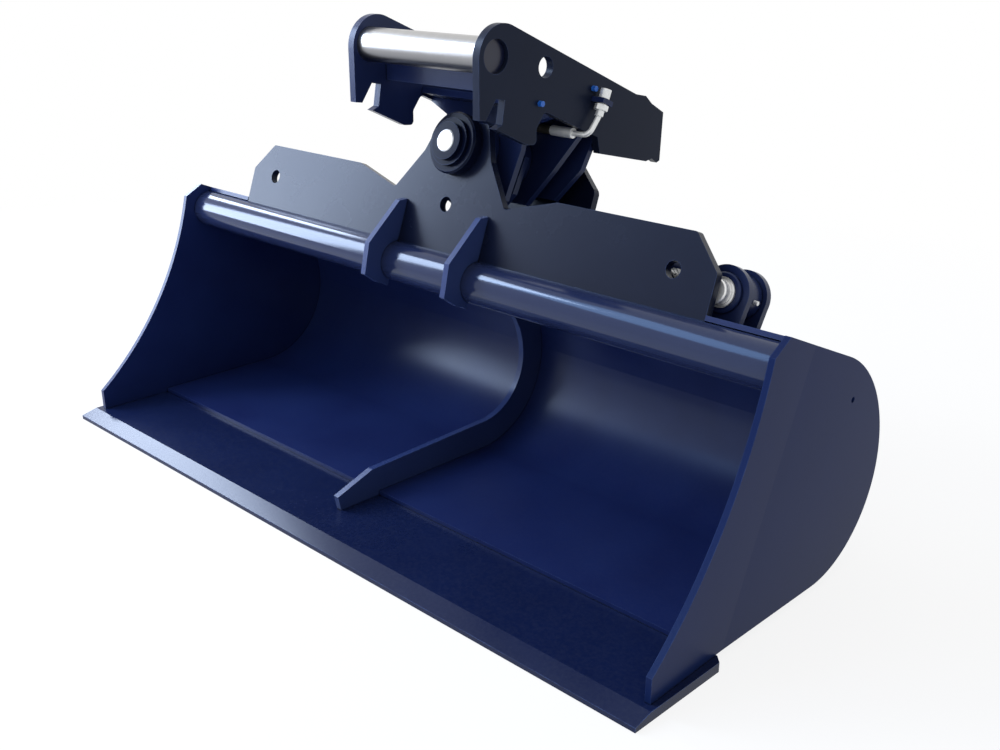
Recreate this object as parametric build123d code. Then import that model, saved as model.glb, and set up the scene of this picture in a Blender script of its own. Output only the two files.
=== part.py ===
from build123d import *
import math
import os

# Tilt ditching bucket with a quick-hitch head. Millimetres, +Z up, lip toward -Y.
# The origin lies on the floor, at the middle of the lip of the cutting edge.

# Bucket box
BUCKET_WIDTH = 1500.0        # over the two side plates
SIDE_T = 10.0                # side plate thickness
SHELL_T = 8.0                # wrapped shell thickness
EDGE_OVERHANG = 15.0         # cutting edge beyond each side plate
EDGE_DEPTH = 205.0           # cutting edge, lip to rear
EDGE_T = 16.0                # cutting edge thickness
EDGE_TIP_T = 8.0             # thickness left at the bevelled lip
EDGE_BEVEL = 34.0            # depth of the bevel on top
EDGE_CORNER = 12.0           # chamfer of the two rear corners
LAP = 9.0                    # shell floor lapped over the cutting edge

# Side plate outline, as (depth, height) places
NOSE_Y = 45.0                # set-back of the side plate's nose from the lip
NOSE_TOP_Z = 57.0            # height where the concave front edge starts
FRONT_MID = (200.0, 231.0)   # one place on the concave front edge
FRONT_TOP = (293.0, 450.0)   # where the concave front edge ends
CREST = (332.0, 472.0)       # top front corner of the side plates
TOP_EDGE_Y = 355.0           # front edge of the sloping top plate, behind that corner
TOP_SLOPE = 22.7             # fall of the bucket's top toward the rear, degrees
BACK_Y = 648.0               # rearmost reach
BACK_R_LOW = 180.0           # lower back curve
BACK_Z = EDGE_T + BACK_R_LOW   # height of the rearmost reach, where the two back curves meet
CHEEK_BEND = 1.6             # outward set of the side plate's front strip, degrees
CHEEK_BOTTOM_Y = 221.0       # bend line at the bottom
CHEEK_TOP_Y = 407.0          # bend line at the top
DRAIN_R = 5.0                # small hole high in each side plate
DRAIN_POS = (539.0, 318.0)

# Torsion tube, rib and gussets
TUBE_R = 38.0                # standard 76.1 mm pipe
TUBE_WALL = 8.0
TUBE_Y = 347.0
RIB_T = 12.0
RIB_TIP_Y = 107.0            # front tip of the floor rib
RIB_TIP_H = 28.0
RIB_H = 56.0
RIB_FRONT_RUN = 75.0         # length of the rise behind the tip
GUSSET_T = 12.0
GUSSET_X = 107.0             # middle of each front gusset
GUSSET_RIM = 12.0            # ring of gusset plate under the tube
GUSSET_TOP = 113.0           # height of the gusset top over the tube's axis
GUSSET_SHOULDER = (64.0, 46.0)   # front corners: ahead of the tube's axis, and above it
GUSSET_NOSE = (77.0, -12.0)
GUSSET_CHIN = (49.0, -32.0)
HEEL_T = EDGE_T              # heel bars fill the step behind the cutting edge
HEEL_W = 60.0
HEEL_INSET = 190.0           # outer heel bars, from the bucket's sides

# Tilt frame: its axes lean back from upright, its origin is on the front plate at the pivot
LEAN = 20.0
PIVOT_Y = 419.0
PIVOT_Z = 636.0
PLATE_T = 15.0               # front and rear tilt plates
WING_INSET = 156.0           # ends of the front tilt plate, from the bucket's sides
WING_SLOPE_X = 53.0          # length of the wing's sloping end
WING_TOP = -66.0
WING_SIDE = -121.0
WING_PEAK_X = 258.0
VALLEY_X = 144.0
VALLEY = -97.0
HUMP_X = 86.0
HUMP_SIDE = -20.0
HUMP_TOP_X = 60.0
HUMP_TOP = 44.0
ACCESS_R = 14.0              # access holes in the wings and in the middle
WING_HOLE_INSET = 78.0       # from the end of the wing
WING_HOLE_V = -130.0
REAR_PLATE_W = -225.0        # front face of the rear tilt plate
REAR_X = 149.0
REAR_SIDE = -18.0
REAR_CORNER_R = 16.0
REAR_GUSSET_X = 100.0        # middle of each gusset behind the rear tilt plate
REAR_GUSSET_TOP = -60.0
REAR_GUSSET_RUN = 90.0
REAR_GUSSET_SIDE = -175.0
REAR_TOP_X = 70.0
REAR_TOP = 52.0

# Pivot
PIN_R = 20.0
BOSS_R = 56.0
RING_R = 43.0
RING_T = 7.0
BOSS_LEN = 22.0
CAP_R = 34.0
CAP_T = 8.0
PIN_PROUD = 2.0             # pin end in front of the cap
BUSH_WALL = 6.0
REAR_BOSS_LEN = 18.0
NUT_AF = 62.0
NUT_T = 22.0
RUN_FIT = 0.05               # radial running clearance of pins in their bushes
WASHER_T = 3.0
SIDE_GAP = 0.5               # play beside the thrust washers

# Head
HEAD_X = 151.0               # inner faces of the head's side plates
HEAD_T = 15.0
HEAD_NOSE_R = 55.8           # rounded top front corner
HEAD_TOP_SLOPE = 22.9
HOOK_PIN_R = 30.0
HOOK_PIN_AHEAD = 74.0        # hitch pin's axis, ahead of the pivot and above it
HOOK_PIN_ABOVE = 171.0
LIFT_HOLE_R = 18.0
LOBE_R = 8.0                 # small rounded corners under the head
ARCH_R = 10.0

# Places on the head's side plate, as (behind, above) the hitch pin's axis
HEAD_FRONT = (-39.0, -99.0)      # lower end of the upright front edge
HEAD_TOP = (59.0, 38.0)          # one place on the sloping top edge
TAIL_STEP = 370.0                # where the tail's steps begin
TAIL_DROPS = ((30.0, 6.0), (49.0, 22.0), (86.0, 42.0))   # behind the step, below the slope's end
TAIL_HOOK = ((451.0, -227.0), (442.0, -230.0), (426.0, -220.0), (408.0, -223.0))
ARCH = ((269.0, -191.0), (262.0, -160.0), (119.0, -100.0), (98.0, -127.0))
GUIDE_LOBE = ((98.0, -154.0), (75.0, -152.0), (-1.0, -117.0))
HOOK_NOTCH = ((14.0, -111.0), (21.0, -72.0), (0.0, -68.0), (-24.0, -101.0))
LIFT_HOLE = (120.0, -26.0)
REAR_BAR = (400.0, -157.0)       # second hitch bar, between the tails
CROSS_PLATE = (41.0, -48.0)      # middle of the cross plate behind the hitch pin
CROSS_PLATE_H = 34.0
REAR_CROSS_H = 88.0              # rear cross plate, standing on the base plate
REAR_CROSS_DROP = 26.0           # how far it hangs below the base plate's top
HOOK_SPIGOT_R = 28.0         # stepped ends of the hitch pin, seated in the side plates
HOOK_SPIGOT = 6.0
NECK_T = 12.0
NECK_TUBE_R = 55.0

# Neck plates, as (across, above) places from the pivot, and how far their full width reaches down
NECK_FRONT = ((101.0, 58.0), (106.0, 15.0), (96.0, -78.0))
NECK_MIDDLE = ((110.0, -4.0), (65.0, -74.0))
NECK_REAR = ((140.0, 12.0), (95.0, -52.0))
NECK_FRONT_FULL = 8.0
NECK_MIDDLE_FULL = 18.0
NECK_REAR_FULL = 11.0
LEVER_LUG = ((70.0, 10.0), (62.0, -60.0))

# Tilt cylinder, along the line from the wing's lugs to the lever
CYL_W = -80.0                # its middle plane behind the front plate
LEVER = 109.0                # lever length below the pivot
LEVER_LUG_R = 33.0
LEVER_PIN_R = 14.0
LEVER_PLAY = 11.0            # extra radius in the rod eye, see lever_pin below
LEVER_DROP = 10.1            # the eye sits this much high of the lever pin at rest
EYE_INSET = 10.0             # base eye, from the end of the wing
EYE_V = -146.0
EYE_R = 36.0
EYE_W = 40.0
BASE_PIN_R = 20.0
LUG_R = 44.0
LUG_FOOT = 34.0              # half width of the lugs at the bucket's top
LUG_T = 12.0
LUG_GAP = 1.0
BARREL_R = 35.0
BARREL_WALL = 7.0
ROD_R = 17.0
STROKE_OUT = 250.0           # rod showing between barrel and rod eye at rest
BARREL_START = 60.0
BARREL_END = 12.0
GLAND_LEN = 34.0
ROD_START = 140.0
PISTON_LEN = 40.0
ROD_EYE_R = LEVER_PIN_R + LEVER_PLAY + 11.0
PORT_X = 110.0
NIPPLE_R = 3.5

half = BUCKET_WIDTH / 2
WING_X = half - WING_INSET
WING_TOP_X = WING_X - WING_SLOPE_X
EYE_POS = (WING_X - EYE_INSET, EYE_V)
HOOK_PIN_POS = (PIVOT_Y - HOOK_PIN_AHEAD, PIVOT_Z + HOOK_PIN_ABOVE)
OUT = "parts"
os.makedirs(OUT, exist_ok=True)
nodes = {}


def keep(name, *solids):
    """Put one named piece, or a group of like pieces, in the list that is written at the end."""
    nodes[name] = solids[0] if len(solids) == 1 else Compound(children=list(solids))


def side_view(points, x0, x1):
    """Plate with a straight-sided outline in depth and height, from x0 to x1."""
    face = make_face(Polyline([(y, z) for y, z in points], close=True).edges())
    return extrude(Plane.YZ.offset(x0) * face, x1 - x0)


# Places in the side view that follow from the sizes above
slope = math.tan(math.radians(TOP_SLOPE))
sin_s, cos_s = math.sin(math.radians(TOP_SLOPE)), math.cos(math.radians(TOP_SLOPE))
crest_line = CREST[1] + CREST[0] * slope
floor_z = EDGE_T


def top_z(y):
    """Height of the bucket's sloping top at a depth."""
    return crest_line - y * slope


# Upper back curve: touches the upright at the rearmost reach and the sloping top
back_r_high = (crest_line * cos_s - BACK_Y * sin_s - BACK_Z * cos_s) / (1 - sin_s)
back_c = (BACK_Y - back_r_high, BACK_Z)
back_top = (back_c[0] + back_r_high * sin_s, back_c[1] + back_r_high * cos_s)
low_c = (BACK_Y - BACK_R_LOW, floor_z + BACK_R_LOW)


def arc_point(centre, radius, degrees):
    a = math.radians(degrees)
    return (centre[0] + radius * math.cos(a), centre[1] + radius * math.sin(a))


def back_edges(inset):
    """Edges from the sloping top round the back to the floor, moved inward by inset."""
    high = back_r_high - inset
    low = BACK_R_LOW - inset
    start = (back_c[0] + high * sin_s, back_c[1] + high * cos_s)
    return [
        ThreePointArc(start, arc_point(back_c, high, 35), (BACK_Y - inset, BACK_Z)),
        ThreePointArc((BACK_Y - inset, BACK_Z), arc_point(low_c, low, -45), (low_c[0], low_c[1] - low)),
    ]


def side_outline():
    back = back_edges(0)
    return make_face([
        Line((NOSE_Y, floor_z), (NOSE_Y, NOSE_TOP_Z)),
        ThreePointArc((NOSE_Y, NOSE_TOP_Z), FRONT_MID, FRONT_TOP),
        Line(FRONT_TOP, CREST),
        Line(CREST, back_top),
        back[0],
        back[1],
        Line((low_c[0], floor_z), (NOSE_Y, floor_z)),
    ])


def shell_face():
    """Shell section: floor, back and sloping top, one wall thick."""
    outer = back_edges(0)
    inner = back_edges(SHELL_T)
    front = EDGE_DEPTH - LAP
    inner_top = inner[0] @ 0
    edge_out = (TOP_EDGE_Y, top_z(TOP_EDGE_Y))
    edge_in = (edge_out[0] - SHELL_T * sin_s, edge_out[1] - SHELL_T * cos_s)
    return make_face([
        Line((front, floor_z), (low_c[0], floor_z)),
        outer[1],
        outer[0],
        Line(back_top, edge_out),
        Line(edge_out, edge_in),
        Line(edge_in, (inner_top.X, inner_top.Y)),
        inner[0],
        inner[1],
        Line((low_c[0], floor_z + SHELL_T), (front, floor_z + SHELL_T)),
        Line((front, floor_z + SHELL_T), (front, floor_z)),
    ])


def across(face, x0, x1):
    """Extrude a face drawn in the side view from x0 to x1."""
    return extrude(Plane.YZ.offset(x0) * face, x1 - x0)


# Torsion tube: its top touches the underside of the sloping top plate
TUBE_Z = crest_line - TUBE_Y * slope - (SHELL_T + TUBE_R + RUN_FIT) / cos_s


def bucket_shell():
    """Wrapped shell, notched where the front tilt plate stands on the torsion tube."""
    shell = across(shell_face(), -half + SIDE_T, half - SIDE_T)
    notch = TILT * Pos(0, -PIVOT_Z / 2, -PLATE_T / 2 + SHELL_T / 2) * Box(
        2 * WING_X, PIVOT_Z / 2, PLATE_T + SHELL_T)
    keep("bucket_shell", shell - notch)


def cutting_edge():
    long = half + EDGE_OVERHANG
    section = make_face(Polyline(
        (0, 0), (EDGE_DEPTH, 0), (EDGE_DEPTH, EDGE_T), (EDGE_BEVEL, EDGE_T), (0, EDGE_TIP_T),
        close=True).edges())
    blade = across(section, -long, long)
    rear = [e for e in blade.edges().filter_by(Axis.Z) if e.center().Y > EDGE_DEPTH - 1]
    keep("cutting_edge", chamfer(rear, EDGE_CORNER))


def side_plates():
    """Each cheek: a flat panel, and a front strip bent slightly outward along a sloping line."""
    low = Vector(half - SIDE_T, CHEEK_BOTTOM_Y, floor_z)
    high = Vector(half - SIDE_T, CHEEK_TOP_Y, top_z(CHEEK_TOP_Y))
    bend = Axis(low, high - low)
    along = (high - low).normalized()
    cutter_x = Plane(origin=low, x_dir=(1, 0, 0), z_dir=along.cross(Vector(1, 0, 0)))
    panel = across(side_outline(), half - SIDE_T, half)
    halves = split(panel, cutter_x, keep=Keep.BOTH)
    pieces = sorted(halves.solids(), key=lambda s: s.center().Y)
    front = pieces[0].rotate(bend, CHEEK_BEND)
    if front.bounding_box().max.X < half:
        front = pieces[0].rotate(bend, -CHEEK_BEND)
    wedge_gap = math.tan(math.radians(CHEEK_BEND)) * SIDE_T
    seam = across(make_face(Polyline(
        (low.Y - 2 * wedge_gap, floor_z), (low.Y + wedge_gap, floor_z),
        (high.Y + wedge_gap, top_z(high.Y + wedge_gap)),
        (high.Y - 2 * wedge_gap, top_z(high.Y - 2 * wedge_gap)), close=True).edges()),
        half - SIDE_T, half)
    hole = Pos(half, *DRAIN_POS) * Rot(0, 90, 0) * Cylinder(DRAIN_R, 4 * SIDE_T)
    right = (pieces[1] + front + seam - hole).clean()
    above_edge = Pos(half, BACK_Y / 2, floor_z + BACK_Y) * Box(8 * SIDE_T, 4 * BACK_Y, 2 * BACK_Y)
    right = right & above_edge
    keep("side_plate_right", right)
    keep("side_plate_left", mirror(right, Plane.YZ))


def torsion_tube():
    ring = Cylinder(TUBE_R, BUCKET_WIDTH - 2 * SIDE_T) - Cylinder(TUBE_R - TUBE_WALL, BUCKET_WIDTH)
    keep("torsion_tube", Pos(0, TUBE_Y, TUBE_Z) * Rot(0, 90, 0) * ring)


def floor_rib():
    """Upright rib in the middle of the bucket, following floor, back and top up to the tube."""
    step = EDGE_DEPTH - LAP
    outer = back_edges(SHELL_T)
    inner = back_edges(SHELL_T + RIB_H)
    inner_top = inner[0] @ 0
    outer_top = outer[0] @ 0
    end_y = TUBE_Y + (TUBE_R + SHELL_T) * 1.0
    on_top = (end_y, top_z(end_y) - SHELL_T / cos_s)
    below = (end_y, on_top[1] - RIB_H / cos_s)
    tip_top = (RIB_TIP_Y - 6, EDGE_T + RIB_TIP_H)
    rise = RIB_TIP_Y + RIB_FRONT_RUN
    face = make_face([
        Line((RIB_TIP_Y, EDGE_T), (step, EDGE_T)),
        Line((step, EDGE_T), (step, EDGE_T + SHELL_T)),
        Line((step, EDGE_T + SHELL_T), (low_c[0], EDGE_T + SHELL_T)),
        outer[1],
        outer[0],
        Line((outer_top.X, outer_top.Y), on_top),
        Line(on_top, below),
        Line(below, (inner_top.X, inner_top.Y)),
        inner[0],
        inner[1],
        Line((low_c[0], EDGE_T + SHELL_T + RIB_H), (rise, EDGE_T + SHELL_T + RIB_H - 8)),
        Line((rise, EDGE_T + SHELL_T + RIB_H - 8), tip_top),
        Line(tip_top, (RIB_TIP_Y, EDGE_T)),
    ])
    keep("floor_rib", across(face, -RIB_T / 2, RIB_T / 2))


def heel_bars():
    start, stop = EDGE_DEPTH, low_c[0]
    bars = []
    for x in (HEEL_INSET - half, 0, half - HEEL_INSET):
        bar = Pos(x, (start + stop) / 2, HEEL_T / 2) * Box(HEEL_W, stop - start, HEEL_T)
        tail = [e for e in bar.edges().filter_by(Axis.X) if e.center().Y > stop - 1 and e.center().Z < 1]
        bars.append(chamfer(tail, HEEL_T / 2))
    keep("heel_bars", *bars)


# Tilt frame: local x is across, local y runs up the plate, local z points out of its front
TILT = Plane(origin=(0, PIVOT_Y, PIVOT_Z), x_dir=(1, 0, 0),
             z_dir=(0, -math.cos(math.radians(LEAN)), math.sin(math.radians(LEAN))))


def plate_in_tilt(face, w_front, thickness):
    """Plate parallel to the tilt plates, from its front face at w_front backward."""
    return TILT * Pos(0, 0, w_front - thickness) * extrude(face, thickness)


def rod_in_tilt(u, v, w_front, w_back, radius, bore=0.0):
    """Round bar or ring along the pivot's direction."""
    long = w_front - w_back
    bar = Cylinder(radius, long)
    if bore:
        bar -= Cylinder(bore, 2 * long)
    return TILT * Pos(u, v, (w_front + w_back) / 2) * bar


def mirrored(points):
    return points + [(-u, v) for u, v in reversed(points)]


def under_top():
    """Everything below the bucket's sloping top surface, for trimming what stands on it."""
    long = 4 * BACK_Y
    block = Box(2 * BUCKET_WIDTH, long, long)
    return Pos(0, 0, crest_line) * Rot(-TOP_SLOPE, 0, 0) * Pos(0, 0, -long / 2) * block


def front_tilt_plate():
    """Wide plate that stands on the torsion tube, with a wing on each side."""
    low = TILT.to_local_coords(Vector(0, TUBE_Y, TUBE_Z)).Y
    outline = mirrored([
        (0, HUMP_TOP), (HUMP_TOP_X, HUMP_TOP), (HUMP_X, HUMP_SIDE), (VALLEY_X, VALLEY),
        (WING_PEAK_X, WING_TOP), (WING_TOP_X, WING_TOP), (WING_X, WING_SIDE), (WING_X, low)])
    face = make_face(Polyline(*outline[1:-1], close=True).edges())
    soft = [v for v in face.vertices() if v.Y > low + 1]
    face = fillet(soft, 8)
    face -= Circle(PIN_R + RUN_FIT)
    face -= Pos(0, -LEVER) * Circle(ACCESS_R)
    for side in (-1, 1):
        face -= Pos(side * (WING_X - WING_HOLE_INSET), WING_HOLE_V) * Circle(ACCESS_R)
    tube = Pos(0, TUBE_Y, TUBE_Z) * Rot(0, 90, 0) * Cylinder(TUBE_R + RUN_FIT, BUCKET_WIDTH)
    keep("front_tilt_plate", plate_in_tilt(face, 0, PLATE_T) - tube)


def rear_tilt_plate():
    low = TILT.to_local_coords(Vector(0, TUBE_Y, TUBE_Z)).Y
    outline = mirrored([(REAR_TOP_X, REAR_TOP), (REAR_X, REAR_SIDE), (REAR_X, low)])
    face = make_face(Polyline(*outline, close=True).edges())
    face = fillet([v for v in face.vertices() if v.Y > low + 1], REAR_CORNER_R)
    face -= Circle(PIN_R + RUN_FIT)
    keep("rear_tilt_plate", plate_in_tilt(face, REAR_PLATE_W, PLATE_T) - under_top())


def front_gussets():
    """Two gussets that wrap the torsion tube and run up the front tilt plate."""
    ring_r = TUBE_R + GUSSET_RIM
    top = TUBE_Z + GUSSET_TOP
    back = PIVOT_Y + math.tan(math.radians(LEAN)) * (top - PIVOT_Z)

    def ahead(corner):
        return (TUBE_Y - corner[0], TUBE_Z + corner[1])

    blade = side_view([
        (back - 20, top), (back + 60, top), (TUBE_Y + ring_r, TUBE_Z), (TUBE_Y, TUBE_Z - ring_r),
        ahead(GUSSET_CHIN), ahead(GUSSET_NOSE), ahead(GUSSET_SHOULDER)], -GUSSET_T / 2, GUSSET_T / 2)
    ring = Pos(0, TUBE_Y, TUBE_Z) * Rot(0, 90, 0) * Cylinder(ring_r, GUSSET_T)
    bore = Pos(0, TUBE_Y, TUBE_Z) * Rot(0, 90, 0) * Cylinder(TUBE_R + RUN_FIT, 2 * GUSSET_T)
    behind_plate = TILT * Pos(0, 0, -BACK_Y) * Box(BUCKET_WIDTH, 2 * BACK_Y, 2 * BACK_Y)
    upper = blade - behind_plate
    lower = ring - under_top_inner() - behind_plate
    body = upper + lower - bore
    body = max(body.solids(), key=lambda s: s.volume)
    for name, x in (("front_gusset_left", -GUSSET_X), ("front_gusset_right", GUSSET_X)):
        keep(name, Pos(x, 0, 0) * body)


def under_top_inner():
    """Strip behind the tube's centre, where the gusset's ring stops short of the top plate."""
    long = 2 * BACK_Y
    return Pos(0, TUBE_Y + TUBE_R * 0.7 + long / 2, TUBE_Z) * Box(BUCKET_WIDTH, long, long)


def rear_gussets():
    """Triangular gussets behind the rear tilt plate, standing on the bucket's top."""
    back_face = REAR_PLATE_W - PLATE_T
    low = TILT.to_local_coords(Vector(0, TUBE_Y, TUBE_Z)).Y - REAR_GUSSET_RUN
    face = make_face(Polyline(
        (-back_face, REAR_GUSSET_TOP), (-back_face, low), (REAR_GUSSET_RUN - back_face, low),
        (REAR_GUSSET_RUN - back_face, REAR_GUSSET_SIDE), close=True).edges())
    for name, x in (("rear_gusset_left", -REAR_GUSSET_X), ("rear_gusset_right", REAR_GUSSET_X)):
        upright = Plane(origin=TILT.origin, x_dir=-TILT.z_dir, z_dir=(1, 0, 0))
        web = extrude(upright * face, GUSSET_T / 2, both=True)
        web = Pos(x, 0, 0) * web
        keep(name, web - under_top())


def pivot_parts():
    boss = rod_in_tilt(0, 0, BOSS_LEN, 0, BOSS_R, PIN_R + RUN_FIT)
    rim = [e for e in boss.edges().filter_by(GeomType.CIRCLE) if e.radius > BOSS_R - 1]
    outer = max(rim, key=lambda e: (e.center() - TILT.origin).dot(TILT.z_dir))
    keep("front_pivot_boss", chamfer(outer, 3))
    rear = REAR_PLATE_W - PLATE_T
    keep("rear_pivot_boss", rod_in_tilt(0, 0, rear, rear - REAR_BOSS_LEN, BOSS_R - 8, PIN_R + RUN_FIT))
    keep("boss_ring", rod_in_tilt(0, 0, BOSS_LEN + RING_T, BOSS_LEN, RING_R, PIN_R + RUN_FIT))
    cap_w = BOSS_LEN + RING_T
    keep("pin_cap", rod_in_tilt(0, 0, cap_w + CAP_T, cap_w, CAP_R, PIN_R + RUN_FIT))
    nut_front = rear - REAR_BOSS_LEN
    pin_back = nut_front - NUT_T - WASHER_T - 8
    pin = rod_in_tilt(0, 0, BOSS_LEN + RING_T + CAP_T + PIN_PROUD, pin_back, PIN_R)
    ends = [e for e in pin.edges().filter_by(GeomType.CIRCLE)]
    keep("pivot_pin", chamfer(ends, 2))
    nut = extrude(RegularPolygon(NUT_AF / 2, 6, major_radius=False), NUT_T)
    nut -= Cylinder(PIN_R + RUN_FIT, 4 * NUT_T)
    keep("pivot_nut", TILT * Pos(0, 0, nut_front - WASHER_T - NUT_T) * nut)
    washer = rod_in_tilt(0, 0, nut_front, nut_front - WASHER_T, NUT_AF / 2 + 3, PIN_R + RUN_FIT)
    keep("pivot_nut_washer", washer)
    gap = SIDE_GAP
    tube_front = -PLATE_T - WASHER_T - gap
    tube_back = REAR_PLATE_W + WASHER_T + gap
    keep("thrust_washers",
         rod_in_tilt(0, 0, -PLATE_T, -PLATE_T - WASHER_T, NECK_TUBE_R - 6, PIN_R + RUN_FIT),
         rod_in_tilt(0, 0, REAR_PLATE_W + WASHER_T, REAR_PLATE_W, NECK_TUBE_R - 6, PIN_R + RUN_FIT))
    bush_r = PIN_R + BUSH_WALL
    keep("neck_tube", rod_in_tilt(0, 0, tube_front, tube_back, NECK_TUBE_R, bush_r + RUN_FIT))
    length = 3 * PIN_R
    keep("neck_bushes",
         rod_in_tilt(0, 0, tube_front, tube_front - length, bush_r, PIN_R + RUN_FIT),
         rod_in_tilt(0, 0, tube_back + length, tube_back, bush_r, PIN_R + RUN_FIT))


# Cylinder stations along the pivot's direction, from its middle plane
EYE_FRONT = CYL_W + EYE_W / 2
EYE_BACK = CYL_W - EYE_W / 2
LUG_FRONT_W = EYE_FRONT + LUG_GAP + LUG_T     # front face of the front lugs
LUG_REAR_W = EYE_BACK - LUG_GAP               # front face of the rear lugs
NECK_B_W = LUG_REAR_W - LUG_T - 25            # middle neck plate
NECK_C_W = REAR_PLATE_W + 45                  # rear neck plate
HEAD_BASE_V = 86.0                            # underside of the head's base plate
HEAD_BASE_T = 12.0
HEAD_BASE_BACK = NECK_C_W - NECK_T - 8        # rear end of the base plate


def neck_face(side_points, lug):
    face = make_face(Polyline(*mirrored(side_points), close=True).edges())
    if lug:
        face += Pos(0, -LEVER) * Circle(LEVER_LUG_R)
        low = side_points[-1]
        face += make_face(Polyline(*mirrored([low, (LEVER_LUG_R - 0.5, -LEVER + 5)]), close=True).edges())
        face -= Pos(0, -LEVER) * Circle(LEVER_PIN_R + RUN_FIT)
    face -= Circle(NECK_TUBE_R + RUN_FIT)
    return face


def neck():
    top = HEAD_BASE_V
    front = neck_face([(HEAD_X, top), (HEAD_X, top - NECK_FRONT_FULL), *NECK_FRONT], True)
    keep("neck_plate_front", plate_in_tilt(front, LUG_FRONT_W, LUG_T))
    lug = make_face(Polyline(*mirrored([*LEVER_LUG, (LEVER_LUG_R - 0.5, -LEVER + 5)]), close=True).edges())
    lug += Pos(0, -LEVER) * Circle(LEVER_LUG_R)
    lug -= Pos(0, -LEVER) * Circle(LEVER_PIN_R + RUN_FIT)
    lug -= Circle(NECK_TUBE_R + RUN_FIT)
    keep("lever_lug", plate_in_tilt(lug, LUG_REAR_W, LUG_T))
    middle = neck_face([(HEAD_X, top), (HEAD_X, top - NECK_MIDDLE_FULL), *NECK_MIDDLE], False)
    keep("neck_plate_middle", plate_in_tilt(middle, NECK_B_W, NECK_T))
    rear = neck_face([(HEAD_X, top), (HEAD_X, top - NECK_REAR_FULL), *NECK_REAR], False)
    keep("neck_plate_rear", plate_in_tilt(rear, NECK_C_W, NECK_T))
    front_w = LUG_FRONT_W + 30
    base = TILT * Pos(0, HEAD_BASE_V + HEAD_BASE_T / 2, (front_w + HEAD_BASE_BACK) / 2) * Box(
        2 * HEAD_X, HEAD_BASE_T, front_w - HEAD_BASE_BACK)
    keep("head_base_plate", base)
    lever_back = LUG_REAR_W - LUG_T
    pin = rod_in_tilt(0, -LEVER, LUG_FRONT_W + 2, lever_back - 2, LEVER_PIN_R)
    pin += rod_in_tilt(0, -LEVER, lever_back, lever_back - 6, LEVER_PIN_R + 7)
    keep("lever_pin", pin)


def on_head(place):
    """Depth and height of a place given behind and above the hitch pin."""
    return (HOOK_PIN_POS[0] + place[0], HOOK_PIN_POS[1] + place[1])


def head_outline():
    """Side plate of the head: rounded nose, sloping back, tail steps, arch, guide lobe and hook notch."""
    fall = math.tan(math.radians(HEAD_TOP_SLOPE))

    def top(behind):
        return on_head((behind, HEAD_TOP[1] - (behind - HEAD_TOP[0]) * fall))

    step = top(TAIL_STEP)
    tail = [(step[0] + back, step[1] - down) for back, down in TAIL_DROPS]
    under = [on_head(place) for place in TAIL_HOOK + ARCH + GUIDE_LOBE + HOOK_NOTCH]
    outline = Polyline(on_head(HEAD_FRONT), top(HEAD_FRONT[0]), step, *tail, *under, close=True)
    face = make_face(outline.edges())

    def corner(place):
        return [v for v in face.vertices() if math.dist((v.X, v.Y), place) < 1]

    face = fillet(corner(top(HEAD_FRONT[0])), HEAD_NOSE_R)
    face = fillet(corner(on_head(GUIDE_LOBE[0])), LOBE_R)
    face = fillet(corner(on_head(ARCH[2])) + corner(on_head(ARCH[3])), ARCH_R)
    face -= Pos(*on_head(LIFT_HOLE)) * Circle(LIFT_HOLE_R)
    return face


def head():
    face = head_outline() - Pos(*HOOK_PIN_POS) * Circle(HOOK_SPIGOT_R + RUN_FIT)
    right = across(face, HEAD_X, HEAD_X + HEAD_T)
    keep("head_plate_right", right)
    keep("head_plate_left", mirror(right, Plane.YZ))
    pin = Cylinder(HOOK_PIN_R, 2 * HEAD_X) + Cylinder(HOOK_SPIGOT_R, 2 * (HEAD_X + HOOK_SPIGOT))
    keep("hook_pin", Pos(0, *HOOK_PIN_POS) * Rot(0, 90, 0) * pin)
    plate = Pos(0, *on_head(CROSS_PLATE)) * Box(2 * HEAD_X, NECK_T, CROSS_PLATE_H)
    keep("front_cross_plate", plate)
    bar = Pos(0, *on_head(REAR_BAR)) * Rot(0, 90, 0) * Cylinder(HOOK_PIN_R, 2 * HEAD_X)
    keep("rear_hitch_bar", bar)
    middle = HEAD_BASE_V + REAR_CROSS_H / 2 - REAR_CROSS_DROP + 6
    rear = TILT * Pos(0, middle, HEAD_BASE_BACK - NECK_T / 2) * Box(2 * HEAD_X, REAR_CROSS_H, NECK_T)
    keep("rear_cross_plate", rear)


def cylinder_line():
    """Plane with its x axis from the base eye toward the rod eye, z along the pivot's direction."""
    rest = Vector(0, -LEVER + LEVER_DROP, 0)
    base = Vector(EYE_POS[0], EYE_POS[1], 0)
    along = (rest - base).normalized()
    local = Plane(origin=base + Vector(0, 0, CYL_W), x_dir=along, z_dir=(0, 0, 1))
    return local, (rest - base).length


def bar_x(start, stop, radius, bore=0.0):
    """Round bar or tube along x, between two stations."""
    bar = Cylinder(radius, stop - start)
    if bore:
        bar -= Cylinder(bore, 2 * (stop - start))
    return Pos((start + stop) / 2, 0, 0) * Rot(0, 90, 0) * bar


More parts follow.
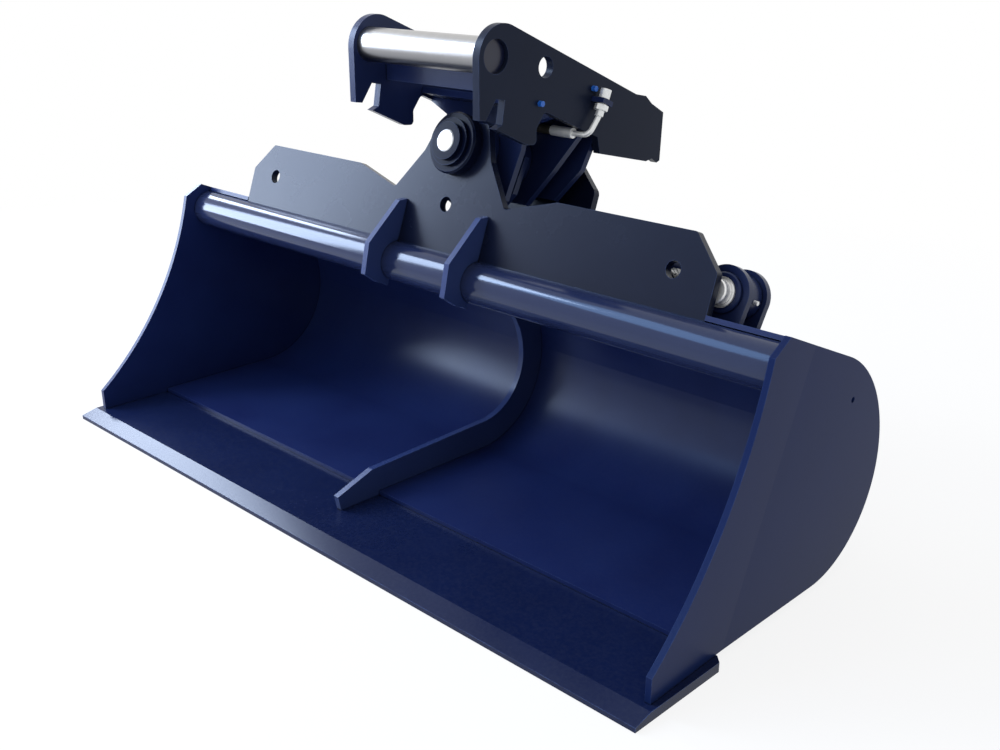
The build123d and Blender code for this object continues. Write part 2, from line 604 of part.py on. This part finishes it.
def tilt_cylinder():
    line, length = cylinder_line()
    gland_x = length - STROKE_OUT
    neck_end = BARREL_START + BARREL_WALL
    eye = Cylinder(EYE_R, EYE_W) + Pos(neck_end / 2, 0, 0) * Box(neck_end, 2 * (EYE_R - 8), EYE_W)
    tube = bar_x(BARREL_START, gland_x, BARREL_R)
    bore = bar_x(BARREL_START + BARREL_END, gland_x + 1, BARREL_R - BARREL_WALL)
    body = eye + tube - bore - Cylinder(BASE_PIN_R + RUN_FIT, 2 * EYE_W)
    nipple_hole = bar_x(-2 * EYE_R, 0, NIPPLE_R)
    keep("cylinder_barrel", TILT * (line * (body - nipple_hole)))
    keep("base_eye_nipple", TILT * (line * bar_x(-EYE_R - 7, -EYE_R + 6, NIPPLE_R - RUN_FIT)))
    gland = bar_x(gland_x, gland_x + GLAND_LEN, BARREL_R + 3, ROD_R + RUN_FIT)
    keep("cylinder_gland", TILT * (line * gland))
    rod_end = length - ROD_EYE_R + 3
    keep("cylinder_rod", TILT * (line * bar_x(ROD_START, rod_end, ROD_R)))
    piston = bar_x(ROD_START, ROD_START + PISTON_LEN, BARREL_R - BARREL_WALL - RUN_FIT, ROD_R + RUN_FIT)
    keep("cylinder_piston", TILT * (line * piston))
    ring = Pos(length, 0, 0) * Cylinder(ROD_EYE_R, EYE_W - 2)
    collar = bar_x(length - ROD_EYE_R - 20, length - ROD_EYE_R + 6, ROD_R + 1.8)
    play = Pos(length, 0, 0) * Cylinder(LEVER_PIN_R + LEVER_PLAY, 2 * EYE_W)
    keep("rod_eye", TILT * (line * (ring + collar - play - bar_x(0, rod_end, ROD_R + RUN_FIT))))
    bosses = []
    plugs = []
    for x in (PORT_X, gland_x - 30):
        seat = Pos(x, 0, BARREL_R + 2) * Cylinder(11, 12) - bar_x(x - 30, x + 30, BARREL_R + RUN_FIT)
        bosses.append(TILT * (line * seat))
        hexagon = extrude(RegularPolygon(8.5, 6, major_radius=False), 8)
        plugs.append(TILT * (line * (Pos(x, 0, BARREL_R + 8) * hexagon)))
    keep("port_bosses", *bosses)
    keep("port_plugs", *plugs)


def cylinder_lugs():
    """Two lugs on the bucket's top that carry the cylinder's base pin."""
    u, v = EYE_POS
    face = make_face(Polyline((u - LUG_R, v), (u + LUG_R, v), (u + LUG_FOOT, v - 90), (u - LUG_FOOT, v - 90),
                              close=True).edges()) + Pos(u, v) * Circle(LUG_R)
    face -= Pos(u, v) * Circle(BASE_PIN_R + RUN_FIT)
    for name, w in (("cylinder_lug_front", LUG_FRONT_W), ("cylinder_lug_rear", LUG_REAR_W)):
        keep(name, plate_in_tilt(face, w, LUG_T) - under_top())
    back = LUG_REAR_W - LUG_T
    pin = rod_in_tilt(u, v, -PLATE_T - 4, back - 14, BASE_PIN_R)
    keep("cylinder_base_pin", chamfer(pin.edges().filter_by(GeomType.CIRCLE), 2))
    keep("base_pin_collar", rod_in_tilt(u, v, back, back - 10, BASE_PIN_R + 9, BASE_PIN_R + RUN_FIT))


# Hydraulic line on the right of the head: coupling outside, hose inside
LINE_X = HEAD_X + HEAD_T + 16.0
COUPLING_TOP = (608.0, 733.0)
COUPLING_FOOT = (589.0, 688.0)
ELBOW_LOW = (562.0, 657.0)
FERRULE_X = (146.0, 96.0)
PIPE_R = 5.0
HOSE_R = 8.0
FERRULE_R = 9.5
PORT_UVW = (34.0, 68.6, -112.0)
PLUG_R = 5.0
PLUG_LEN = 8.0
PLUG_POS = ((450.0, 722.0), (590.0, 735.0))


def between(a, b, radius, bore=0.0):
    """Round bar or tube between two points."""
    start, stop = Vector(*a), Vector(*b)
    line = Plane(origin=start, z_dir=stop - start)
    bar = extrude(line * Circle(radius), (stop - start).length)
    if bore:
        bar -= extrude(line * Circle(bore), (stop - start).length)
    return bar


def on_coupling(share):
    """Point on the coupling's axis, from its foot (0) to its top (1)."""
    (y0, z0), (y1, z1) = COUPLING_FOOT, COUPLING_TOP
    return (LINE_X, y0 + (y1 - y0) * share, z0 + (z1 - z0) * share)


def hydraulics():
    foot, top = Vector(*on_coupling(0)), Vector(*on_coupling(1))
    line = Plane(origin=foot, z_dir=top - foot)
    low = Vector(LINE_X, *ELBOW_LOW)
    ferrule_start = Vector(FERRULE_X[0], *ELBOW_LOW)
    ferrule_end = Vector(FERRULE_X[1], *ELBOW_LOW)
    path = FilletPolyline(foot, low, ferrule_start, radius=14)
    keep("elbow_pipe", sweep(Plane(origin=foot, z_dir=low - foot) * Circle(PIPE_R), path=path))
    keep("hose_ferrule", between(ferrule_start, ferrule_end, FERRULE_R))
    sleeve = between(on_coupling(0.0), on_coupling(0.22), 7.5)
    keep("coupling_sleeve", sleeve - nodes["elbow_pipe"])
    nut = extrude(line * RegularPolygon(11, 6, major_radius=False), 0.2 * (top - foot).length)
    keep("coupling_nut", Pos(*(Vector(*on_coupling(0.22)) - foot)) * nut)
    keep("coupling_body", between(on_coupling(0.42), on_coupling(0.66), 8.5))
    keep("coupling_cap", between(on_coupling(0.66), on_coupling(1.0), 10))
    face = HEAD_X + HEAD_T
    wide = LINE_X + 12 - face
    block = Pos(face + wide / 2, *on_coupling(0.54)[1:]) * Rot(-23, 0, 0) * Box(wide, 28, 9)
    keep("coupling_clamp", block - between(on_coupling(0.3), on_coupling(0.9), 8.5 + RUN_FIT))
    u, v, w = PORT_UVW
    port = TILT.from_local_coords(Vector(u, v, w))
    middle = ferrule_end - Vector(FERRULE_X[1] - 76, 0, 0)
    hose = FilletPolyline(ferrule_end, middle, port, radius=50)
    ring = Plane(origin=ferrule_end, z_dir=middle - ferrule_end) * Circle(HOSE_R)
    keep("hydraulic_hose", sweep(ring, path=hose))
    block = TILT * Pos(u - 12, v, w) * Box(24, 20, 22)
    stem = TILT * Pos(u - 12, v - 16, w) * Box(16, 20, 16)
    keep("neck_port_elbow", block + stem - rod_in_tilt(0, 0, 0, REAR_PLATE_W, NECK_TUBE_R + RUN_FIT)
         - nodes["hydraulic_hose"])
    plugs = []
    for place in PLUG_POS:
        plugs.append(Pos(face + PLUG_LEN / 2, *place) * Rot(0, 90, 0) * Cylinder(PLUG_R, PLUG_LEN))
    keep("blanking_plugs", *plugs)


bucket_shell()
cutting_edge()
side_plates()
torsion_tube()
floor_rib()
heel_bars()
front_tilt_plate()
rear_tilt_plate()
front_gussets()
rear_gussets()
pivot_parts()
neck()
head()
tilt_cylinder()
cylinder_lugs()
hydraulics()

for name, shape in nodes.items():
    export_step(shape, f"{OUT}/{name}.step")
print(len(nodes), "nodes")
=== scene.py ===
import math
import bpy
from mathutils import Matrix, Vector


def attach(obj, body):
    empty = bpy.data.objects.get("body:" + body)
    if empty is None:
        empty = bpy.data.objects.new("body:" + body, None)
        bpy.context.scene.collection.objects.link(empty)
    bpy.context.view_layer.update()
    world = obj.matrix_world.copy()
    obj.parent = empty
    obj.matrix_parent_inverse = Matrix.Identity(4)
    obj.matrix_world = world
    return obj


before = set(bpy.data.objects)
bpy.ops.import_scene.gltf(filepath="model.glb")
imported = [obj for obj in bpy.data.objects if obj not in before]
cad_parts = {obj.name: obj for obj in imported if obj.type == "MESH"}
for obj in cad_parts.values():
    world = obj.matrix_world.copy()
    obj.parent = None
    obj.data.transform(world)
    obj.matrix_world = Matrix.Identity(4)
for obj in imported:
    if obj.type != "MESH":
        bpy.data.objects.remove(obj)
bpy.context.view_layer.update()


def new_group(name, inputs, outputs):
    """Empty shader group with named sockets; returns the group, its input node and its output node."""
    group = bpy.data.node_groups.new(name, "ShaderNodeTree")
    for label, kind, value in inputs:
        socket = group.interface.new_socket(label, in_out="INPUT", socket_type=kind)
        socket.default_value = value
    for label, kind in outputs:
        group.interface.new_socket(label, in_out="OUTPUT", socket_type=kind)
    return group, group.nodes.new("NodeGroupInput"), group.nodes.new("NodeGroupOutput")


def add(tree, kind, **settings):
    node = tree.nodes.new(kind)
    for key, value in settings.items():
        setattr(node, key, value)
    return node


def maths(tree, operation, a, b=None, clamp=False):
    node = add(tree, "ShaderNodeMath", operation=operation, use_clamp=clamp)
    for slot, value in enumerate((a, b)):
        if value is None:
            continue
        if hasattr(value, "is_linked"):
            tree.links.new(value, node.inputs[slot])
        else:
            node.inputs[slot].default_value = value
    return node.outputs[0]


def noise(tree, scale, detail=3.0, rough=0.55, stretch=(1, 1, 1)):
    """Noise in object space, stretched along the axes."""
    place = add(tree, "ShaderNodeTexCoord")
    lay = add(tree, "ShaderNodeMapping")
    lay.inputs["Scale"].default_value = stretch
    tree.links.new(place.outputs["Object"], lay.inputs["Vector"])
    grain = add(tree, "ShaderNodeTexNoise")
    if hasattr(scale, "is_linked"):
        tree.links.new(scale, grain.inputs["Scale"])
    else:
        grain.inputs["Scale"].default_value = scale
    grain.inputs["Detail"].default_value = detail
    grain.inputs["Roughness"].default_value = rough
    tree.links.new(lay.outputs["Vector"], grain.inputs["Vector"])
    return grain.outputs["Fac"]


def ramp(tree, fac, low, high, dark=0.0, light=1.0):
    node = add(tree, "ShaderNodeMapRange", clamp=True)
    node.inputs["From Min"].default_value = low
    node.inputs["From Max"].default_value = high
    node.inputs["To Min"].default_value = dark
    node.inputs["To Max"].default_value = light
    tree.links.new(fac, node.inputs["Value"])
    return node.outputs["Result"]


def mix(tree, fac, a, b):
    node = add(tree, "ShaderNodeMix", data_type="RGBA")
    for name, value in (("Factor", fac), ("A", a), ("B", b)):
        socket = node.inputs[0] if name == "Factor" else node.inputs[6 if name == "A" else 7]
        if hasattr(value, "is_linked"):
            tree.links.new(value, socket)
        elif name == "Factor":
            socket.default_value = value
        else:
            socket.default_value = (*value[:3], 1)
    return node.outputs[2]


def build_edge_wear():
    """Thin worn line on sharp corners: how much the shading normal turns within a small distance."""
    group, given, result = new_group(
        "Edge wear", [("Width", "NodeSocketFloat", 0.0015), ("Amount", "NodeSocketFloat", 0.5)],
        [("Mask", "NodeSocketFloat")])
    bevel = add(group, "ShaderNodeBevel", samples=4)
    group.links.new(given.outputs["Width"], bevel.inputs["Radius"])
    flat = add(group, "ShaderNodeNewGeometry")
    dot = add(group, "ShaderNodeVectorMath", operation="DOT_PRODUCT")
    group.links.new(bevel.outputs["Normal"], dot.inputs[0])
    group.links.new(flat.outputs["Normal"], dot.inputs[1])
    turn = maths(group, "SUBTRACT", 1.0, dot.outputs["Value"])
    edge = ramp(group, turn, 0.01, 0.12)
    patchy = ramp(group, noise(group, 38.0), 0.35, 0.62, 0.25, 1.0)
    amount = maths(group, "MULTIPLY", edge, given.outputs["Amount"])
    group.links.new(maths(group, "MULTIPLY", amount, patchy, True), result.inputs["Mask"])
    return group


def build_paint_skin():
    """Sprayed paint: orange peel for the bump, slow cloudiness for colour and gloss."""
    group, given, result = new_group(
        "Paint skin", [("Peel scale", "NodeSocketFloat", 420.0), ("Cloud scale", "NodeSocketFloat", 5.0)],
        [("Height", "NodeSocketFloat"), ("Cloud", "NodeSocketFloat")])
    peel = noise(group, given.outputs["Peel scale"], 2.0, 0.4)
    wave = noise(group, 60.0, 1.0, 0.3)
    height = maths(group, "ADD", maths(group, "MULTIPLY", peel, 0.4), maths(group, "MULTIPLY", wave, 0.6))
    group.links.new(height, result.inputs["Height"])
    group.links.new(noise(group, given.outputs["Cloud scale"], 4.0, 0.6), result.inputs["Cloud"])
    return group


def build_dust():
    """Fine dust that lies on upward faces."""
    group, given, result = new_group("Settled dust", [("Amount", "NodeSocketFloat", 0.3)],
                                     [("Mask", "NodeSocketFloat")])
    shape = add(group, "ShaderNodeNewGeometry")
    parts = add(group, "ShaderNodeSeparateXYZ")
    group.links.new(shape.outputs["Normal"], parts.inputs[0])
    up = ramp(group, parts.outputs["Z"], 0.3, 1.0)
    specks = ramp(group, noise(group, 160.0, 6.0, 0.7), 0.42, 0.72)
    amount = maths(group, "MULTIPLY", up, given.outputs["Amount"])
    group.links.new(maths(group, "MULTIPLY", amount, specks, True), result.inputs["Mask"])
    return group


def build_turned_grain():
    """Fine lines left by turning or grinding, along one axis."""
    group, given, result = new_group(
        "Machined grain", [("Fineness", "NodeSocketFloat", 1.0)],
        [("Height", "NodeSocketFloat"), ("Streaks", "NodeSocketFloat")])
    lines = noise(group, 240.0, 4.0, 0.6, (0.02, 1, 1))
    cross = noise(group, 90.0, 3.0, 0.5, (1, 0.05, 0.05))
    both = maths(group, "ADD", maths(group, "MULTIPLY", lines, 0.6), maths(group, "MULTIPLY", cross, 0.4))
    group.links.new(maths(group, "MULTIPLY", both, given.outputs["Fineness"]), result.inputs["Height"])
    group.links.new(both, result.inputs["Streaks"])
    return group


def build_seam_shade():
    """Thin dark line where two plates meet: 1 in the corner, 0 a few millimetres away."""
    group, given, result = new_group("Seam shade", [("Width", "NodeSocketFloat", 0.004)], [("Mask", "NodeSocketFloat")])
    near = add(group, "ShaderNodeAmbientOcclusion", samples=6)
    group.links.new(given.outputs["Width"], near.inputs["Distance"])
    group.links.new(ramp(group, near.outputs["AO"], 0.45, 0.75, 1.0, 0.0), result.inputs["Mask"])
    return group


EDGE_WEAR = build_edge_wear()
SEAM_SHADE = build_seam_shade()
PAINT_SKIN = build_paint_skin()
DUST = build_dust()
GRAIN = build_turned_grain()


def use(tree, group, **values):
    node = tree.nodes.new("ShaderNodeGroup")
    node.node_tree = group
    for name, value in values.items():
        node.inputs[name.replace("_", " ").capitalize()].default_value = value
    return node


def fresh(name, metallic, roughness, **constants):
    material = bpy.data.materials.new(name)
    material.use_nodes = True
    tree = material.node_tree
    shader = tree.nodes["Principled BSDF"]
    shader.inputs["Metallic"].default_value = metallic
    shader.inputs["Roughness"].default_value = roughness
    for key, value in constants.items():
        shader.inputs[key.replace("_", " ")].default_value = value
    return material, tree, shader


def bump(tree, shader, height, strength, distance=0.0004):
    node = add(tree, "ShaderNodeBump")
    node.inputs["Strength"].default_value = strength
    node.inputs["Distance"].default_value = distance
    tree.links.new(height, node.inputs["Height"])
    tree.links.new(node.outputs["Normal"], shader.inputs["Normal"])


def paint(name, deep, bright, specular=0.2, roughness=0.34, wear=0.35, dust=0.05, peel=0.1):
    """Satin navy paint over steel plate, with pale worn corners and a little dust."""
    material, tree, shader = fresh(name, 0.0, roughness, Specular_IOR_Level=specular)
    shader.inputs["Specular Tint"].default_value = (0.72, 0.84, 1.0, 1)
    skin = use(tree, PAINT_SKIN)
    cloud = skin.outputs["Cloud"]
    colour = mix(tree, ramp(tree, cloud, 0.2, 0.8), deep, bright)
    edges = use(tree, EDGE_WEAR, width=0.002, amount=wear)
    colour = mix(tree, edges.outputs["Mask"], colour, (0.06, 0.10, 0.24))
    settled = use(tree, DUST, amount=dust)
    colour = mix(tree, settled.outputs["Mask"], colour, (0.12, 0.13, 0.15))
    seam = use(tree, SEAM_SHADE)
    colour = mix(tree, seam.outputs["Mask"], colour, (0.001, 0.001, 0.003))
    tree.links.new(colour, shader.inputs["Base Color"])
    gloss = maths(tree, "ADD", ramp(tree, cloud, 0.1, 0.9, roughness - 0.02, roughness + 0.02),
                  maths(tree, "MULTIPLY", settled.outputs["Mask"], 0.4), True)
    tree.links.new(gloss, shader.inputs["Roughness"])
    bump(tree, shader, skin.outputs["Height"], peel)
    return material


def bare_metal(name, dark, light, roughness=0.22, metallic=1.0, fineness=1.0, relief=0.08):
    """Turned, ground or plated metal with fine lines."""
    material, tree, shader = fresh(name, metallic, roughness)
    grain = use(tree, GRAIN, fineness=fineness)
    streaks = grain.outputs["Streaks"]
    tree.links.new(mix(tree, ramp(tree, streaks, 0.35, 0.65), dark, light), shader.inputs["Base Color"])
    tree.links.new(ramp(tree, streaks, 0.3, 0.7, roughness - 0.04, roughness + 0.08), shader.inputs["Roughness"])
    bump(tree, shader, grain.outputs["Height"], relief, 0.0002)
    return material


HEAD_INSIDE = 0.1512         # just past the inner faces of the head's side plates


def hitch_pin_steel(name, painted_beyond):
    """Ground steel pin: darker below as painted shade, and painted over at its ends in the side plates."""
    material, tree, shader = fresh(name, 1.0, 0.3)
    grain = use(tree, GRAIN, fineness=1.0)
    steel = mix(tree, ramp(tree, grain.outputs["Streaks"], 0.35, 0.65), (0.44, 0.435, 0.43), (0.50, 0.49, 0.48))
    facing = add(tree, "ShaderNodeSeparateXYZ")
    tree.links.new(add(tree, "ShaderNodeNewGeometry").outputs["Normal"], facing.inputs[0])
    # painted shade: the steel is blended towards dark grey on faces whose normal points down
    underside_painted_shade = ramp(tree, facing.outputs["Z"], -0.5, 0.45, 1.0, 0.0)
    steel = mix(tree, underside_painted_shade, steel, (0.20, 0.20, 0.21))
    place = add(tree, "ShaderNodeSeparateXYZ")
    tree.links.new(add(tree, "ShaderNodeTexCoord").outputs["Object"], place.inputs[0])
    ends = maths(tree, "GREATER_THAN", maths(tree, "ABSOLUTE", place.outputs["X"]), painted_beyond)
    tree.links.new(mix(tree, ends, steel, (0.005, 0.008, 0.03)), shader.inputs["Base Color"])
    tree.links.new(maths(tree, "SUBTRACT", 1.0, ends), shader.inputs["Metallic"])
    bump(tree, shader, grain.outputs["Height"], 0.05, 0.0002)
    return material


def soft_material(name, dark, light, roughness, relief=0.3, scale=260.0):
    """Rubber or moulded plastic with a fine matt grain."""
    material, tree, shader = fresh(name, 0.0, roughness)
    grain = noise(tree, scale, 5.0, 0.6)
    tree.links.new(mix(tree, ramp(tree, grain, 0.35, 0.65), dark, light), shader.inputs["Base Color"])
    tree.links.new(ramp(tree, grain, 0.3, 0.7, roughness - 0.06, roughness + 0.08), shader.inputs["Roughness"])
    bump(tree, shader, grain, relief, 0.0003)
    return material


NAVY = paint("Navy satin paint", (0.008, 0.014, 0.055), (0.012, 0.020, 0.070), specular=0.25, roughness=0.26)
BOWL_NAVY = paint("Bowl navy paint", (0.006, 0.011, 0.060), (0.010, 0.020, 0.088), specular=0.3, roughness=0.3)
# painted light: the navy paint made lighter on the floor rib and the front gussets
RIB_NAVY_PAINTED_LIGHT = paint("Rib and gusset paint lightened as painted light", (0.018, 0.030, 0.100), (0.025, 0.042, 0.130), specular=0.3, roughness=0.26)
# painted shade: the navy paint made much darker on the pivot boss, its ring and the pin cap
BOSS_NAVY_PAINTED_SHADE = paint("Pivot boss paint darkened as painted shade", (0.002, 0.003, 0.012), (0.003, 0.005, 0.017), specular=0.1, roughness=0.2)
# painted shade: the navy paint made much darker on the front and rear tilt plates
TILT_PLATE_NAVY_PAINTED_SHADE = paint("Tilt plate navy paint darkened as painted shade", (0.003, 0.0045, 0.016), (0.0045, 0.007, 0.021), specular=0.2,
                   roughness=0.27)
SIDE_NAVY = paint("Side plate navy paint", (0.005, 0.013, 0.060), (0.008, 0.017, 0.072), specular=0.08)
# painted shade: the right head plate gets a darker, greyer copy of the navy paint than the left one
RIGHT_HEAD_NAVY_PAINTED_SHADE = paint("Right head plate paint darkened as painted shade", (0.006, 0.009, 0.022), (0.009, 0.013, 0.030), specular=0.12)
TUBE_NAVY = paint("Torsion tube gloss paint", (0.012, 0.018, 0.055), (0.017, 0.024, 0.065), specular=0.46,
                  roughness=0.13)
EDGE_NAVY = paint("Cutting edge paint", (0.004, 0.008, 0.036), (0.006, 0.012, 0.050), specular=0.2,
                  roughness=0.2, wear=0.7)
PIN_STEEL = hitch_pin_steel("Ground hitch pin", HEAD_INSIDE)
BRIGHT_STEEL = bare_metal("Bright turned steel", (0.80, 0.80, 0.79), (0.92, 0.92, 0.91), 0.3, metallic=0.7)
ROD_CHROME = bare_metal("Hard chrome rod", (0.74, 0.75, 0.77), (0.84, 0.85, 0.87), roughness=0.08, relief=0.03)
BRONZE = bare_metal("Bearing bronze", (0.42, 0.27, 0.12), (0.55, 0.37, 0.18), roughness=0.3)
ZINC = bare_metal("Zinc plated fittings", (0.80, 0.81, 0.80), (0.94, 0.94, 0.92), 0.36, metallic=0.45)
HOSE_RUBBER = soft_material("Hydraulic hose rubber", (0.012, 0.012, 0.012), (0.05, 0.045, 0.03), 0.55)
BLUE_PLASTIC = soft_material("Blue plug plastic", (0.01, 0.09, 0.42), (0.02, 0.14, 0.55), 0.4, 0.15)

FINISH = {
    "bucket_shell": BOWL_NAVY, "floor_rib": RIB_NAVY_PAINTED_LIGHT, "side_plate_left": BOWL_NAVY, "side_plate_right": SIDE_NAVY,
    "cutting_edge": EDGE_NAVY, "torsion_tube": TUBE_NAVY, "front_tilt_plate": TILT_PLATE_NAVY_PAINTED_SHADE,
    "rear_tilt_plate": TILT_PLATE_NAVY_PAINTED_SHADE, "head_plate_left": NAVY, "head_plate_right": RIGHT_HEAD_NAVY_PAINTED_SHADE,
    "hook_pin": PIN_STEEL, "hydraulic_hose": HOSE_RUBBER, "blanking_plugs": BLUE_PLASTIC,
    "pivot_pin": BRIGHT_STEEL, "cylinder_base_pin": BRIGHT_STEEL, "lever_pin": BRIGHT_STEEL,
    "pivot_nut": BRIGHT_STEEL, "pivot_nut_washer": BRIGHT_STEEL, "base_pin_collar": BRIGHT_STEEL,
    "front_gusset_left": RIB_NAVY_PAINTED_LIGHT, "front_gusset_right": RIB_NAVY_PAINTED_LIGHT,
    "front_pivot_boss": BOSS_NAVY_PAINTED_SHADE, "boss_ring": BOSS_NAVY_PAINTED_SHADE, "pin_cap": BOSS_NAVY_PAINTED_SHADE,
    "cylinder_rod": ROD_CHROME, "cylinder_piston": ROD_CHROME,
    "neck_bushes": BRONZE, "thrust_washers": BRONZE,
}
for fitting in ("elbow_pipe", "hose_ferrule", "coupling_sleeve", "coupling_nut", "coupling_body", "coupling_cap",
                "neck_port_elbow", "port_plugs", "base_eye_nipple"):
    FINISH[fitting] = ZINC

for node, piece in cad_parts.items():
    finish = FINISH.get(node, NAVY)
    for slot in range(len(piece.material_slots)):
        piece.material_slots[slot].material = finish
    if not piece.material_slots:
        piece.data.materials.append(finish)


PIVOT = Vector((0, 0.419, 0.636))
LEAN = math.radians(20)      # the pivot's direction rises toward the front by this much
TURN_STEPS = 56


def in_tilt(across, up, ahead):
    """Place given across, up and ahead of the pivot on the leaning tilt plate, in millimetres."""
    y = up * math.sin(LEAN) - ahead * math.cos(LEAN)
    z = up * math.cos(LEAN) + ahead * math.sin(LEAN)
    return PIVOT + Vector((across, y, z)) / 1000


def turned(name, centre, profile, finish, body, steps=TURN_STEPS):
    """Ring or stud along the pivot's direction; the profile's places are (radius, ahead)."""
    points, faces = [], []
    for step in range(steps):
        angle = 2 * math.pi * step / steps
        for radius, ahead in profile:
            points.append(in_tilt(centre[0] + radius * math.cos(angle), centre[1] + radius * math.sin(angle), ahead))
    count = len(profile)
    for step in range(steps):
        after = (step + 1) % steps
        for k in range(count):
            following = (k + 1) % count
            faces.append((step * count + k, after * count + k, after * count + following, step * count + following))
    shape = bpy.data.meshes.new(name)
    shape.from_pydata(points, [], faces)
    shape.validate()
    for face in shape.polygons:
        face.use_smooth = True
    shape.set_sharp_from_angle(angle=math.radians(35))
    shape.materials.append(finish)
    piece = bpy.data.objects.new(name, shape)
    bpy.context.scene.collection.objects.link(piece)
    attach(piece, body)
    return piece


BASE_EYE = (584.0, -146.0)
LUG_FACE = -47.0             # front face of the cylinder's front lug
turned("base_pin_ring", BASE_EYE, [(20.6, LUG_FACE), (32, LUG_FACE), (32, LUG_FACE + 5), (30, LUG_FACE + 7),
                                   (20.6, LUG_FACE + 7)], NAVY, "bucket")
turned("base_pin_washer", BASE_EYE, [(20.3, LUG_FACE + 7.2), (24, LUG_FACE + 7.2), (24, LUG_FACE + 10),
                                     (20.3, LUG_FACE + 10)], BRIGHT_STEEL, "bucket")
BLEED_AT = (493.0, -134.0)
BARREL_FRONT = -45.0
turned("bleed_fitting", BLEED_AT, [(0.5, BARREL_FRONT - 3), (9, BARREL_FRONT - 3), (9, BARREL_FRONT + 6),
                                   (6, BARREL_FRONT + 7), (6, BARREL_FRONT + 12), (4, BARREL_FRONT + 13),
                                   (4, BARREL_FRONT + 18), (0.5, BARREL_FRONT + 19)],
       ZINC, "barrel", steps=6)


FLOOR_REACH = 30.0           # half the floor's width
FLOOR_WHITE = 0.85           # share of plain white in the floor near the bucket
SHADOW_NEAR = 1.3
SHADOW_FAR = 3.0
ROOM_LIGHT = 0.75


def seen_directly(tree):
    """1 for rays from the camera and for reflected and refracted ones, 0 for the light that falls on things."""
    path = add(tree, "ShaderNodeLightPath")
    seen = maths(tree, "MAXIMUM", path.outputs["Is Camera Ray"], path.outputs["Is Glossy Ray"])
    return maths(tree, "MAXIMUM", seen, path.outputs["Is Transmission Ray"])


def stage_floor():
    """Wide floor that looks white and keeps a soft shadow near the bucket."""
    material = bpy.data.materials.new("White floor")
    material.use_nodes = True
    tree = material.node_tree
    tree.nodes.clear()
    matt = add(tree, "ShaderNodeBsdfDiffuse")
    matt.inputs["Color"].default_value = (0.9, 0.9, 0.91, 1)
    white = add(tree, "ShaderNodeEmission")
    place = add(tree, "ShaderNodeTexCoord")
    reach = add(tree, "ShaderNodeVectorMath", operation="LENGTH")
    tree.links.new(place.outputs["Object"], reach.inputs[0])
    share = ramp(tree, reach.outputs["Value"], SHADOW_NEAR, SHADOW_FAR, FLOOR_WHITE, 1.0)
    blend = add(tree, "ShaderNodeMixShader")
    tree.links.new(maths(tree, "MULTIPLY", seen_directly(tree), share), blend.inputs[0])
    tree.links.new(matt.outputs[0], blend.inputs[1])
    tree.links.new(white.outputs[0], blend.inputs[2])
    tree.links.new(blend.outputs[0], add(tree, "ShaderNodeOutputMaterial").inputs["Surface"])
    shape = bpy.data.meshes.new("floor")
    shape.from_pydata([(-FLOOR_REACH, -FLOOR_REACH, 0), (FLOOR_REACH, -FLOOR_REACH, 0),
                       (FLOOR_REACH, FLOOR_REACH, 0), (-FLOOR_REACH, FLOOR_REACH, 0)], [], [(0, 1, 2, 3)])
    floor = bpy.data.objects.new("floor", shape)
    floor.data.materials.append(material)
    bpy.context.scene.collection.objects.link(floor)


def stage_world():
    """White backdrop for the eye and for reflections, plain dim light for everything else."""
    world = bpy.data.worlds.new("Studio")
    bpy.context.scene.world = world
    world.use_nodes = True
    tree = world.node_tree
    tree.nodes.clear()
    plain = add(tree, "ShaderNodeBackground")
    plain.inputs["Color"].default_value = (0.95, 0.97, 1.0, 1)
    plain.inputs["Strength"].default_value = ROOM_LIGHT
    white = add(tree, "ShaderNodeBackground")
    white.inputs["Color"].default_value = (1, 1, 1, 1)
    both = add(tree, "ShaderNodeMixShader")
    tree.links.new(seen_directly(tree), both.inputs[0])
    tree.links.new(plain.outputs[0], both.inputs[1])
    tree.links.new(white.outputs[0], both.inputs[2])
    tree.links.new(both.outputs[0], add(tree, "ShaderNodeOutputWorld").inputs["Surface"])


def softbox(name, place, target, width, height, power, colour=(0.72, 0.82, 1.0)):
    data = bpy.data.lights.new(name, "AREA")
    data.color = colour
    data.shape = "RECTANGLE"
    data.size = width
    data.size_y = height
    data.energy = power
    lamp = bpy.data.objects.new(name, data)
    lamp.location = place
    lamp.rotation_euler = (Vector(target) - Vector(place)).to_track_quat("-Z", "Y").to_euler()
    bpy.context.scene.collection.objects.link(lamp)


def stage_camera():
    """The photograph's standpoint."""
    data = bpy.data.cameras.new("camera")
    data.lens = 41.98
    data.sensor_width = 36.0
    camera = bpy.data.objects.new("camera", data)
    camera.location = (1.5326, -1.0382, 0.9953)
    camera.rotation_euler = (math.radians(90 - 20.809), 0, math.radians(44.4706))
    bpy.context.scene.collection.objects.link(camera)
    bpy.context.scene.camera = camera


stage_floor()
stage_world()
softbox("left softbox", (-2.7, -1.15, 1.7), (-0.2, 0.3, 0.45), 1.0, 2.8, 140)
softbox("rear left softbox", (-2.6, 0.55, 1.7), (-0.3, 0.0, 0.1), 0.5, 1.2, 32)
softbox("blue top softbox", (-1.0, -1.1, 2.3), (0.3, 0.2, 0.3), 1.4, 1.2, 24, (0.35, 0.6, 1.0))
stage_camera()
bpy.context.scene.view_settings.view_transform = "Standard"
